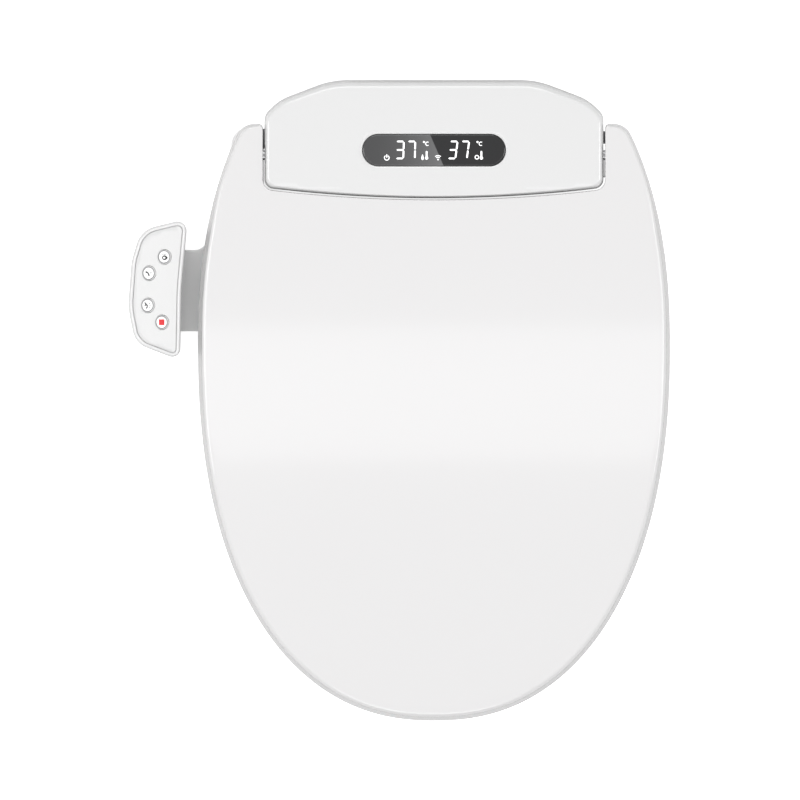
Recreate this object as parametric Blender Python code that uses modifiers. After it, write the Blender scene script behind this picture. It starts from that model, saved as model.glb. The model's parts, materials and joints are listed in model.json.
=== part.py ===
"""Electric bidet seat with a soft-close lid and seat, two spray nozzles and a side control panel.

Metres, +Z up.  z = 0 is the toilet rim, +Y is the rear, -X is the control panel side, and the
origin is the centre of the mounting plate's underside, on the line of the fixing bolts.
"""
import math

import bmesh
import bpy
import numpy as np
from mathutils import Matrix, Vector

# ---- driving dimensions -------------------------------------------------------------------
LID_HALF_WIDTH = 0.1888
LID_WIDEST_Y = -0.160
LID_FRONT_LENGTH = 0.3004        # from the widest line to the front tip
LID_REAR_LENGTH = 0.272          # of the same oval, which the rear edge cuts off
LID_REAR_Y = 0.017
OVAL_POWER = 2.27
LID_TOP_FRONT_Z = 0.062
LID_TOP_REAR_Z = 0.078
LID_WALL = 0.0025

HINGE_Y = -0.008
HINGE_Z = 0.066
SHAFT_RADIUS = 0.004

HOUSING_HALF_WIDTH = 0.1356
HOUSING_REAR_Y = 0.052
HOUSING_FRONT_Y = -0.0425
HOUSING_FRONT_BOW = 0.0074       # the front edge falls back by this much at its ends
HOUSING_TOP_Z = 0.077
COVER_BOTTOM_Z = 0.012
BASE_BOTTOM_Z = 0.003
HOUSING_WALL = 0.0025
CROWN_DRAW = (0.0050, 0.0075)    # how far the sides and the rear have drawn in at the top
NOTCH_GAP = 0.0013

BOLT_SLOT_X = 0.0775             # half the usual 155 mm between the fixing bolts
BOLT_SLOT_HALF_LENGTH = 0.016
BOLT_SLOT_HALF_WIDTH = 0.0062
RELEASE_LOW = (0.127, -0.026, 0.016)
RELEASE_HIGH = (0.1383, -0.010, 0.026)
INLET_Y = 0.005
INLET_Z = 0.028
INLET_RADIUS = 0.0080
GLAND_Y = 0.006
GLAND_Z = 0.030
GLAND_RADIUS = 0.0060

SEAT_INSET = 0.005               # seat outline inside the lid outline
SEAT_REAR_Y = -0.048
SEAT_BOTTOM_Z = 0.014
SEAT_TOP_FRONT_Z = 0.040
SEAT_TOP_REAR_Z = 0.046
OPENING_HALF_WIDTH = 0.110
OPENING_HALF_LENGTH = 0.145
OPENING_CENTRE_Y = -0.240
BRIDGE_BOTTOM_Z = 0.036          # underside of the seat behind its opening, over the nozzles

DISPLAY_CENTRE_Y = -0.0041
DISPLAY_LENGTH = 0.115
DISPLAY_WIDTH = 0.0259

NOZZLE_X = 0.009
NOZZLE_RADIUS = 0.0055
NOZZLE_LENGTH = 0.078
NOZZLE_TIP = (-0.034, 0.0295)    # y and z of the tip's centre at rest
NOZZLE_SLOPE = math.radians(18)

PANEL_SLOPE = math.radians(24)
PANEL_INNER_X = -0.200
PANEL_TOP_Z = 0.052              # at PANEL_INNER_X
PANEL_RIM = 0.0033
KEY_RADIUS = 0.0058
KEYS = {"key_seat": (-0.2155, -0.0895), "key_bidet": (-0.2279, -0.1026),
        "key_spray": (-0.2288, -0.1283), "key_stop": (-0.2175, -0.1418)}

GAP = 0.0003
LOOP_STEPS = 13                  # points in a quarter of an oval

FINISHES = {
    "white_gloss": ((0.86, 0.86, 0.85), 0.18, 0.0),
    "white_satin": ((0.80, 0.80, 0.79), 0.40, 0.0),
    "grey_plastic": ((0.62, 0.62, 0.62), 0.45, 0.0),
    "dark_plastic": ((0.06, 0.06, 0.065), 0.40, 0.0),
    "display_black": ((0.03, 0.03, 0.033), 0.08, 0.0),
    "rubber_grey": ((0.40, 0.40, 0.41), 0.80, 0.0),
    "steel": ((0.60, 0.60, 0.61), 0.30, 1.0),
    "board_green": ((0.04, 0.22, 0.10), 0.50, 0.0),
    "heater_foil": ((0.70, 0.40, 0.15), 0.45, 0.4),
    "key_red": ((0.72, 0.10, 0.08), 0.35, 0.0),
}


# ---- helpers ------------------------------------------------------------------------------
def clear_scene():
    for obj in list(bpy.data.objects):
        bpy.data.objects.remove(obj, do_unlink=True)


def make_collection(name):
    collection = bpy.data.collections.new(name)
    bpy.context.scene.collection.children.link(collection)
    return collection


clear_scene()
PARTS = make_collection("bidet_seat")
CUTTERS = make_collection("cutters")


def finish_material(finish):
    if finish in bpy.data.materials:
        return bpy.data.materials[finish]
    colour, roughness, metallic = FINISHES[finish]
    material = bpy.data.materials.new(finish)
    material.use_nodes = True
    shader = material.node_tree.nodes["Principled BSDF"]
    shader.inputs["Base Color"].default_value = (*colour, 1.0)
    shader.inputs["Roughness"].default_value = roughness
    shader.inputs["Metallic"].default_value = metallic
    return material


def add_object(name, bm, finish, place=(0, 0, 0), turn=None, smooth_angle=35):
    """Turn a bmesh into a named part; with no finish it becomes a cutter."""
    bmesh.ops.recalc_face_normals(bm, faces=bm.faces)
    mesh = bpy.data.meshes.new(name)
    bm.to_mesh(mesh)
    bm.free()
    obj = bpy.data.objects.new(name, mesh)
    obj.location = place
    if turn is not None:
        obj.rotation_euler = turn
    if finish is None:
        CUTTERS.objects.link(obj)
        obj.hide_render = True
        obj.display_type = "WIRE"
        return obj
    PARTS.objects.link(obj)
    mesh.materials.append(finish_material(finish))
    mesh.shade_smooth()
    mesh.set_sharp_from_angle(angle=math.radians(smooth_angle))
    return obj


def bevel(obj, width, segments=1, angle=30):
    modifier = obj.modifiers.new("Rounded edges", "BEVEL")
    modifier.width = width
    modifier.segments = segments
    modifier.limit_method = "ANGLE"
    modifier.angle_limit = math.radians(angle)


def cut(obj, *cutters):
    for cutter in cutters:
        modifier = obj.modifiers.new("Cut " + cutter.name, "BOOLEAN")
        modifier.operation = "DIFFERENCE"
        modifier.object = cutter


def join(obj, *others):
    for other in others:
        modifier = obj.modifiers.new("Join " + other.name, "BOOLEAN")
        modifier.operation = "UNION"
        modifier.object = other


def box(name, low, high, finish, rounding=0.001, turn=None):
    """A box between two corners, turned about its own centre."""
    size = [b - a for a, b in zip(low, high)]
    centre = [(a + b) / 2 for a, b in zip(low, high)]
    bm = bmesh.new()
    bmesh.ops.create_cube(bm, size=1.0, matrix=Matrix.Diagonal((*size, 1.0)))
    obj = add_object(name, bm, finish, centre, turn)
    if rounding:
        bevel(obj, rounding)
    return obj


def rod(name, start, end, radius, finish, end_radius=None, sides=20, rounding=0.0):
    """A round bar or cone from start to end."""
    start, end = Vector(start), Vector(end)
    along = end - start
    bm = bmesh.new()
    bmesh.ops.create_cone(bm, cap_ends=True, segments=sides, radius1=radius,
                          radius2=radius if end_radius is None else end_radius,
                          depth=along.length)
    obj = add_object(name, bm, finish, (start + end) / 2)
    obj.rotation_euler = along.to_track_quat("Z", "Y").to_euler()
    if rounding:
        bevel(obj, rounding)
    return obj


def slab(name, outline, low, high, finish, rounding=0.0, axis="Z"):
    """A flat outline made solid between two heights along Z, or between two x along X."""
    bm = bmesh.new()
    if axis == "Z":
        ring = [bm.verts.new((a, b, low)) for a, b in outline]
        rise = (0, 0, high - low)
    else:
        ring = [bm.verts.new((low, a, b)) for a, b in outline]
        rise = (high - low, 0, 0)
    face = bm.faces.new(ring)
    top = bmesh.ops.extrude_face_region(bm, geom=[face])["geom"]
    moved = [item for item in top if isinstance(item, bmesh.types.BMVert)]
    bmesh.ops.translate(bm, vec=rise, verts=moved)
    obj = add_object(name, bm, finish)
    if rounding:
        bevel(obj, rounding)
    return obj


def loft(name, rings, finish, cap_first=True, cap_last=True, closed=False, smooth_angle=35):
    """A skin over rings of equally many points; closed joins the last ring to the first."""
    bm = bmesh.new()
    rows = [[bm.verts.new(point) for point in ring] for ring in rings]
    count = len(rows[0])
    pairs = list(zip(rows, rows[1:]))
    if closed:
        pairs.append((rows[-1], rows[0]))
    for near, far in pairs:
        for i in range(count):
            j = (i + 1) % count
            bm.faces.new((near[i], near[j], far[j], far[i]))
    if cap_first and not closed:
        bm.faces.new(rows[0][::-1])
    if cap_last and not closed:
        bm.faces.new(rows[-1])
    return add_object(name, bm, finish, smooth_angle=smooth_angle)


def shell(name, outer, inner, finish):
    """A wall between outer and inner rings, both listed from the open edge to the closed end."""
    return loft(name, list(reversed(outer)) + list(inner), finish)


def rounded(corners, steps=4):
    """A closed outline whose corners (x, y, radius) are arcs."""
    points = []
    for i, (x, y, radius) in enumerate(corners):
        here = Vector((x, y))
        if radius == 0:
            points.append((x, y))
            continue
        before = (Vector(corners[i - 1][:2]) - here).normalized()
        after = (Vector(corners[(i + 1) % len(corners)][:2]) - here).normalized()
        half = before.angle(after) / 2
        centre = here + (before + after).normalized() * radius / math.sin(half)
        first = here + before * radius / math.tan(half) - centre
        last = here + after * radius / math.tan(half) - centre
        sweep = first.angle_signed(last)
        for k in range(steps + 1):
            turned = first.copy()
            turned.rotate(Matrix.Rotation(-sweep * k / steps, 2))
            points.append(tuple(centre + turned))
    return points


def outward_normals(points):
    """Unit normals of a closed outline that runs anticlockwise."""
    points = np.array(points)
    along = np.roll(points, -1, axis=0) - np.roll(points, 1, axis=0)
    normals = np.stack([along[:, 1], -along[:, 0]], axis=1)
    return normals / np.linalg.norm(normals, axis=1)[:, None]


def smooth_step(value):
    value = np.clip(value, 0.0, 1.0)
    return value * value * (3.0 - 2.0 * value)


def mirrored(half):
    """A whole outline from its right half, given from the front centre round to the rear centre."""
    left = [(-x, y) for x, y in reversed(half) if abs(x) > 1e-6]
    return list(half) + left


# ---- outlines -----------------------------------------------------------------------------
def front_line(x, gap=0.0):
    """The housing's bowed front edge, or the lid's edge a gap in front of it."""
    return HOUSING_FRONT_Y - gap + HOUSING_FRONT_BOW * (x / 0.128) ** 2


def housing_outline():
    bow = [(x, front_line(x), 0) for x in (0.0, 0.03, 0.06, 0.09, 0.115)]
    side = [(HOUSING_HALF_WIDTH, front_line(0.1356), 0.007), (HOUSING_HALF_WIDTH, 0.024, 0.010),
            (0.124, 0.036, 0.040), (0.082, HOUSING_REAR_Y, 0.070), (0.030, HOUSING_REAR_Y, 0),
            (0.0, HOUSING_REAR_Y, 0)]
    left = [(-x, y, radius) for x, y, radius in reversed(bow + side) if x > 0]
    return rounded(bow + side + left)


def oval_point(turn, inset=0.0):
    """A point of the lid's oval: turn is 0 at the front tip, 90 at the widest, 180 at the rear."""
    sine, cosine = math.sin(math.radians(turn)), math.cos(math.radians(turn))
    length = LID_FRONT_LENGTH if cosine > 0 else LID_REAR_LENGTH
    x = (LID_HALF_WIDTH - inset) * sine ** (2 / OVAL_POWER)
    reach = (length - inset) * abs(cosine) ** (2 / OVAL_POWER)
    return x, LID_WIDEST_Y - math.copysign(reach, cosine)


def lid_outline():
    """Right half of the lid from the front tip, round its ear, to the middle of its notch."""
    oval = [oval_point(90 * i / LOOP_STEPS) for i in range(LOOP_STEPS)]
    turn = 90.0
    while oval_point(turn)[1] < LID_REAR_Y - 0.014:
        oval.append(oval_point(turn))
        turn += 5.0
    while oval_point(turn)[1] < LID_REAR_Y:
        turn += 0.1
    notch_x = HOUSING_HALF_WIDTH + NOTCH_GAP
    ear = [(*oval[-1], 0), (oval_point(turn)[0], LID_REAR_Y, 0.015),
           (notch_x, LID_REAR_Y, 0.003), (notch_x, -0.010, 0),
           (notch_x, front_line(0.1356, NOTCH_GAP), 0.008), (0.110, front_line(0.110, NOTCH_GAP), 0)]
    bow = [(x, front_line(x, NOTCH_GAP)) for x in (0.085, 0.06, 0.03, 0.0)]
    return mirrored(oval[:-1] + rounded(ear) + bow)


def seat_loop(inset, share=1.0, rear=SEAT_REAR_Y):
    """A loop of the seat: share is 0 at the opening's edge and 1 at the outside."""
    points = []
    for i in range(4 * LOOP_STEPS):
        turn = 360 * i / (4 * LOOP_STEPS)
        x, y = oval_point(turn if turn <= 180 else 360 - turn, inset)
        x = math.copysign(x, 180 - turn) if turn % 180 else 0.0
        y = min(y, rear)
        inner_x = OPENING_HALF_WIDTH * math.sin(math.radians(turn))
        inner_y = OPENING_CENTRE_Y - OPENING_HALF_LENGTH * math.cos(math.radians(turn))
        points.append((inner_x + (x - inner_x) * share, inner_y + (y - inner_y) * share))
    return points


def lid_top(y):
    rise = (LID_TOP_REAR_Z - LID_TOP_FRONT_Z) / (LID_REAR_Y - LID_WIDEST_Y + LID_FRONT_LENGTH)
    return LID_TOP_FRONT_Z + rise * (y - LID_WIDEST_Y + LID_FRONT_LENGTH)


def seat_height(x, y, level):
    """z on the seat: level 0 is its underside and 1 its top, and the rear bridge is raised."""
    tip_y = LID_WIDEST_Y - LID_FRONT_LENGTH + SEAT_INSET
    top = SEAT_TOP_FRONT_Z
    top += (SEAT_TOP_REAR_Z - SEAT_TOP_FRONT_Z) * (y - tip_y) / (SEAT_REAR_Y - tip_y)
    middle = math.exp(-((x / 0.060) ** 4))
    lift = middle * float(smooth_step((y + 0.125) / 0.030))
    bottom = SEAT_BOTTOM_Z + (BRIDGE_BOTTOM_Z - SEAT_BOTTOM_Z) * lift
    return bottom + (top - bottom) * level


# ---- housing ------------------------------------------------------------------------------
def housing_ring(z, side=0.0, rear=0.0, wall=0.0):
    """The housing's outline at height z, drawn in at its sides and rear, and inside by a wall.

    Above the hinge line the front is a circle about the hinge, so the lid's notch clears it.
    """
    above = max(0.0, z - HINGE_Z)
    ring = []
    for x, y in housing_outline():
        if y < 0:
            reach = HINGE_Y - front_line(x) - wall
            y *= (HINGE_Y - math.sqrt(reach * reach - above * above)) / front_line(x)
        else:
            y *= 1 - (rear + wall) / HOUSING_REAR_Y
        ring.append((x * (1 - (side + wall) / HOUSING_HALF_WIDTH), y, z))
    return ring


def top_cover():
    """Hollow cover, open below, with its window, nozzle door and holes."""
    # z, then how far the sides and the rear have drawn in at that height
    levels = [(COVER_BOTTOM_Z, 0.0, 0.0), (HINGE_Z, 0.0, 0.0018), (0.0700, 0.0002, 0.0024),
              (0.0735, 0.0009, 0.0034), (0.0758, 0.0024, 0.0050), (HOUSING_TOP_Z, *CROWN_DRAW)]
    outer = [housing_ring(*level) for level in levels]
    wall = HOUSING_WALL
    inner = [housing_ring(COVER_BOTTOM_Z, wall=wall), housing_ring(HINGE_Z, 0.0, 0.0018, wall),
             housing_ring(0.0690, 0.0002, 0.0024, wall), housing_ring(0.0722, 0.0010, 0.0036, wall),
             housing_ring(HOUSING_TOP_Z - wall, *CROWN_DRAW, wall)]
    cover = shell("top_cover", outer, inner, "white_gloss")
    window = slab("display_window", pill(0.0), 0.070, 0.100, None)
    nozzle_door = box("nozzle_opening", (-0.026, -0.060, 0.0), (0.026, -0.030, 0.042), None, 0)
    openings = [window, nozzle_door]
    for side in (-1, 1):
        openings.append(rod(f"shaft_hole_{side}", (side * 0.125, HINGE_Y, HINGE_Z),
                            (side * 0.145, HINGE_Y, HINGE_Z), SHAFT_RADIUS + GAP, None))
    openings.append(rod("inlet_hole", (-0.145, INLET_Y, INLET_Z), (-0.125, INLET_Y, INLET_Z),
                        INLET_RADIUS + GAP, None))
    openings.append(rod("gland_hole", (0.145, GLAND_Y, GLAND_Z), (0.125, GLAND_Y, GLAND_Z),
                        GLAND_RADIUS + GAP, None))
    low = (0.125, RELEASE_LOW[1] - GAP, RELEASE_LOW[2] - GAP)
    high = (0.145, RELEASE_HIGH[1] + GAP, RELEASE_HIGH[2] + GAP)
    openings.append(box("release_hole", low, high, None, 0))
    cut(cover, *openings)


def pill(inset):
    """The display's outline: a bar with round ends."""
    radius = DISPLAY_WIDTH / 2
    half = DISPLAY_LENGTH / 2
    corners = [(half, DISPLAY_CENTRE_Y - radius), (half, DISPLAY_CENTRE_Y + radius),
               (-half, DISPLAY_CENTRE_Y + radius), (-half, DISPLAY_CENTRE_Y - radius)]
    outline = rounded([(x, y, radius * 0.999) for x, y in corners], steps=8)
    return [tuple(point) for point in np.array(outline) - outward_normals(outline) * inset]


def display():
    """Lens let into the cover's window, and the board under it."""
    slab("display_lens", pill(GAP), HOUSING_TOP_Z - 0.0024, HOUSING_TOP_Z + 0.0002, "display_black", 0.0005)
    board_z = HOUSING_TOP_Z - 0.0120
    box("display_board", (-0.054, -0.0165, board_z), (0.054, 0.0085, board_z + 0.0016), "board_green", 0)


def base_case():
    """Shallow tray under the cover."""
    rim = COVER_BOTTOM_Z - GAP
    wall = HOUSING_WALL
    chamfer = 0.0015
    outer = [housing_ring(rim), housing_ring(BASE_BOTTOM_Z + chamfer),
             housing_ring(BASE_BOTTOM_Z, wall=chamfer)]
    inner = [housing_ring(rim, wall=wall), housing_ring(BASE_BOTTOM_Z + wall, wall=wall)]
    shell("base_case", outer, inner, "white_satin")


def mounting():
    """Plate that is bolted to the toilet, with a slot for each bolt, and its release button."""
    corners = [(-0.118, -0.030), (0.118, -0.030), (0.118, 0.032), (-0.118, 0.032)]
    outline = rounded([(x, y, 0.006) for x, y in corners], 3)
    plate = slab("mounting_plate", outline, 0.0, BASE_BOTTOM_Z - GAP, "grey_plastic")
    for side in (-1, 1):
        near, far = side * BOLT_SLOT_X - BOLT_SLOT_HALF_LENGTH, side * BOLT_SLOT_X + BOLT_SLOT_HALF_LENGTH
        half = BOLT_SLOT_HALF_WIDTH
        ends = rounded([(near, -half, 0.006), (far, -half, 0.006), (far, half, 0.006), (near, half, 0.006)])
        cut(plate, slab(f"bolt_slot_{side}", ends, -0.01, 0.01, None))
    box("release_button", RELEASE_LOW, RELEASE_HIGH, "grey_plastic", 0.0015)


def hinge_parts():
    """Stub shaft at each side, and the two dampers inside the cover."""
    for name, side in (("left", -1), ("right", 1)):
        rod(f"hinge_shaft_{name}", (side * 0.1294, HINGE_Y, HINGE_Z), (side * 0.1560, HINGE_Y, HINGE_Z),
            SHAFT_RADIUS, "steel", rounding=0.0006)
    for name, side in (("seat_damper", -1), ("lid_damper", 1)):
        rod(name, (side * 0.0800, HINGE_Y, HINGE_Z), (side * 0.1290, HINGE_Y, HINGE_Z), 0.0075,
            "dark_plastic", rounding=0.001)


def nozzle_point(travel, x, lift=0.0):
    """A point on a nozzle's line: travel is measured backwards from the tip at rest."""
    y = NOZZLE_TIP[0] + travel * math.cos(NOZZLE_SLOPE) - lift * math.sin(NOZZLE_SLOPE)
    z = NOZZLE_TIP[1] + travel * math.sin(NOZZLE_SLOPE) + lift * math.cos(NOZZLE_SLOPE)
    return x, y, z


def wash_unit():
    """Two sliding nozzles in a bored cradle, their motors, and the shield over their tips."""
    for name, x in (("rear_nozzle", -NOZZLE_X), ("front_nozzle", NOZZLE_X)):
        nozzle = rod(name, nozzle_point(0, x), nozzle_point(NOZZLE_LENGTH, x), NOZZLE_RADIUS,
                     "white_satin", sides=20, rounding=0.0015)
        top = nozzle_point(0.010, x, NOZZLE_RADIUS + 0.004)
        bottom = nozzle_point(0.010, x, NOZZLE_RADIUS - 0.0025)
        cut(nozzle, rod(name + "_spray_hole", top, bottom, 0.0011, None, sides=10))
    centre = Vector(nozzle_point(0.046, 0.0))
    bm = bmesh.new()
    bmesh.ops.create_cube(bm, size=1.0, matrix=Matrix.Diagonal((0.040, 0.058, 0.0165, 1.0)))
    cradle = add_object("nozzle_cradle", bm, "grey_plastic", centre, (NOZZLE_SLOPE, 0, 0))
    for x in (-NOZZLE_X, NOZZLE_X):
        cut(cradle, rod(f"cradle_bore_{x}", nozzle_point(-0.01, x), nozzle_point(0.10, x),
                        NOZZLE_RADIUS + 0.0004, None, sides=20))
    for name, side in (("left", -1), ("right", 1)):
        low = nozzle_point(0.040, side * 0.033, 0.0)
        rod(f"nozzle_motor_{name}", low, nozzle_point(0.062, side * 0.033, 0.0), 0.0110,
            "steel", sides=20, rounding=0.001)
    box("nozzle_shield", (-0.0255, -0.0395, 0.0375), (0.0255, -0.0375, 0.0415), "white_satin", 0.0008)


def water_and_electrics():
    """What the water passes through, from its inlet to the heater, then the fan, board and gland."""
    rod("water_inlet", (-0.1500, INLET_Y, INLET_Z), (-0.1230, INLET_Y, INLET_Z), INLET_RADIUS,
        "dark_plastic", rounding=0.0008)
    rod("inlet_strainer", (-0.1225, INLET_Y, INLET_Z), (-0.1130, INLET_Y, INLET_Z), 0.0060, "steel",
        end_radius=0.0045, sides=16)
    valve = box("solenoid_valve", (-0.1120, -0.012, 0.014), (-0.0800, 0.022, 0.040), "white_satin", 0.0015)
    join(valve, rod("valve_coil", (-0.0960, INLET_Y, 0.038), (-0.0960, INLET_Y, 0.0520), 0.0105, None))
    pump = rod("water_pump", (-0.0780, 0.030, 0.022), (-0.0380, 0.030, 0.022), 0.0130, "dark_plastic",
               rounding=0.0015)
    join(pump, rod("pump_head", (-0.0420, 0.030, 0.022), (-0.0340, 0.030, 0.022), 0.0155, None))
    heater = box("water_heater", (0.0480, -0.030, 0.012), (0.1000, 0.012, 0.052), "white_satin", 0.003)
    join(heater, rod("heater_outlet", (0.0620, -0.004, 0.050), (0.0620, -0.004, 0.0570), 0.0040, None))
    fan = rod("dryer_fan", (0.0480, 0.028, 0.024), (0.0860, 0.028, 0.024), 0.0120, "dark_plastic",
              rounding=0.001)
    join(fan, rod("fan_collar", (0.0500, 0.028, 0.024), (0.0540, 0.028, 0.024), 0.0132, None))
    box("main_board", (-0.0700, 0.0435, 0.040), (0.0700, 0.0451, 0.068), "board_green", 0)
    rod("power_gland", (0.1240, GLAND_Y, GLAND_Z), (0.1480, GLAND_Y, GLAND_Z), GLAND_RADIUS,
        "dark_plastic", end_radius=0.0042, rounding=0.0006)


# ---- lid ----------------------------------------------------------------------------------
def lid_shell():
    """Rolled-edge shell; its wall is tall round the front and shallow at the ears and the notch."""
    outline = np.array(lid_outline())
    normals = outward_normals(outline)
    x, y = outline.T
    in_notch = (np.abs(x) < HOUSING_HALF_WIDTH + 0.004) & (y > front_line(0.0) - 0.006)
    rear_share = smooth_step((y + 0.075) / 0.050)
    wall = np.where(in_notch, 0.0050, 0.021 + 0.006 * (y - y.min()) / np.ptp(y))
    wall = wall + (np.minimum(wall, 0.013) - wall) * rear_share
    roll = np.where(in_notch, 0.22, 1.0 - 0.35 * rear_share)
    # how far the skin has drawn in, and how far below the top it is, as a share of the wall
    levels = [(0.0, 1.0), (0.0012, 0.55), (0.0024, 0.25), (0.0044, 0.06), (0.0090, 0.0)]

    def ring(drawn_in, drop, thickness=0.0, sunk=0.0):
        place = outline - normals * (drawn_in * roll + thickness)[:, None]
        heights = lid_top(place[:, 1]) - wall * drop - sunk
        return [(a, b, c) for (a, b), c in zip(place, heights)]

    outer = [ring(*level) for level in levels]
    inner = [ring(0.0, 1.0, LID_WALL), ring(0.0012, 0.55, LID_WALL), ring(0.0032, 0.15, LID_WALL, 0.0020),
             ring(0.0090, 0.0, LID_WALL, LID_WALL)]
    shell("lid_shell", outer, inner, "white_gloss")


def lid_liner():
    """Flat stiffening panel under the lid's top, ahead of the housing, with the lid's bumpers."""
    outline = seat_loop(0.013, rear=-0.058)
    rings = [[(x, y, lid_top(y) - depth) for x, y in outline] for depth in (0.0085, 0.0070)]
    loft("lid_liner", rings, "white_satin")
    for name, side in (("left", -1), ("right", 1)):
        for place, y in (("front", -0.375), ("rear", -0.110)):
            x = side * (0.118 if place == "front" else 0.148)
            foot = seat_height(x, y, 1.0) + 0.0006
            rod(f"lid_bumper_{place}_{name}", (x, y, foot), (x, y, lid_top(y) - 0.0088 - GAP), 0.006,
                "rubber_grey", end_radius=0.0075, sides=16, rounding=0.0008)


def hinge_arm(name, outline, low, high, finish):
    """Flat arm in the YZ plane, bored for the hinge shaft."""
    arm = slab(name, outline, low, high, finish, axis="X")
    bore = rod(name + "_bore", (low - 0.01, HINGE_Y, HINGE_Z), (high + 0.01, HINGE_Y, HINGE_Z),
               SHAFT_RADIUS + 0.0004, None)
    cut(arm, bore)


def hinge_arms():
    """An arm of the seat and one of the lid, side by side on each shaft."""
    seat_arm = rounded([(-0.092, 0.0463, 0.001), (-0.030, 0.0500, 0.020), (0.0000, 0.0580, 0.0075),
                        (0.0000, 0.0740, 0.0079), (-0.018, 0.0740, 0.009), (-0.040, 0.0575, 0.020),
                        (-0.092, 0.0500, 0.003)])
    # where it lies on the seat it follows the seat's top
    seat_arm = [(y, z if y > -0.045 else max(z, seat_height(0.150, y, 1.0) + GAP)) for y, z in seat_arm]
    lid_arm = rounded([(-0.0180, 0.0560, 0.0095), (0.0020, 0.0560, 0.0095), (0.0020, 0.0742, 0.002),
                       (-0.0300, 0.0731, 0.002)])
    for name, side in (("left", -1), ("right", 1)):
        for arm, outline, near, far in (("seat", seat_arm, 0.1408, 0.1455),
                                        ("lid", lid_arm, 0.1465, 0.1515)):
            low, high = sorted((side * near, side * far))
            hinge_arm(f"{arm}_hinge_arm_{name}", outline, low, high, "white_satin")


# ---- seat ---------------------------------------------------------------------------------
def seat_ring(name, section, finish):
    """A section (share across the ring, level) carried round the seat."""
    rings = []
    for share, level in section:
        rings.append([(x, y, seat_height(x, y, level)) for x, y in seat_loop(SEAT_INSET, share)])
    return loft(name, rings, finish, closed=True, smooth_angle=50)


def seat():
    """Upper and lower shells with the heater between them, and the buffers under the seat."""
    seat_ring("seat_upper_shell", [
        (0.00, 0.30), (0.012, 0.62), (0.07, 0.88), (0.30, 1.00), (0.70, 1.00), (0.92, 0.90),
        (0.988, 0.62), (1.00, 0.24), (0.964, 0.24), (0.950, 0.58), (0.88, 0.80), (0.70, 0.90),
        (0.30, 0.90), (0.11, 0.79), (0.050, 0.58), (0.038, 0.30)], "white_gloss")
    seat_ring("seat_lower_shell", [
        (0.00, 0.26), (0.036, 0.26), (0.060, 0.10), (0.940, 0.10), (0.966, 0.205), (1.00, 0.205),
        (0.975, 0.03), (0.940, 0.0), (0.060, 0.0), (0.022, 0.04)], "white_satin")
    seat_ring("seat_heater", [(0.30, 0.86), (0.70, 0.86), (0.70, 0.84), (0.30, 0.84)], "heater_foil")
    for side_name, side in (("left", -1), ("right", 1)):
        for place, x, y, turn in (("front", 0.104, -0.375, -52), ("middle", 0.140, -0.215, -88)):
            pad = box(f"seat_buffer_{place}_{side_name}", (side * x - 0.018, y - 0.007, 0.0),
                      (side * x + 0.018, y + 0.007, SEAT_BOTTOM_Z - GAP), "rubber_grey", 0.002)
            pad.rotation_euler.z = math.radians(side * -turn)


# ---- side panel ---------------------------------------------------------------------------
def side_arm():
    """Flat arm that runs forward beside the housing and then out to the panel."""
    outline = rounded([(-0.1362, 0.014, 0.003), (-0.1600, 0.014, 0.014), (-0.1700, -0.040, 0.030),
                       (-0.1840, -0.0840, 0.010), (-0.2080, -0.0840, 0.002), (-0.2080, -0.1490, 0.002),
                       (-0.1720, -0.1490, 0.014), (-0.1500, -0.100, 0.040), (-0.1362, -0.050, 0.020)])
    slab("side_arm", outline, 0.0015, 0.0115, "grey_plastic", 0.0012)


def panel_outline(inset=0.0):
    corners = [(-0.1970, -0.0588, 0.0075), (-0.2345, -0.0680, 0.020), (-0.2420, -0.0930, 0.040),
               (-0.2448, -0.1300, 0.060), (-0.2390, -0.1587, 0.018), (-0.2031, -0.1724, 0.0065),
               (-0.2021, -0.1150, 0.200)]
    outline = np.array(rounded(corners, 5))
    if inset == 0.0:
        return outline
    return outline - outward_normals(outline) * inset


def panel_height(x, below=0.0):
    return PANEL_TOP_Z + (x - PANEL_INNER_X) * math.tan(PANEL_SLOPE) - below


def panel_ring(inset, below):
    return [(x, y, panel_height(x, below)) for x, y in panel_outline(inset)]


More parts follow.
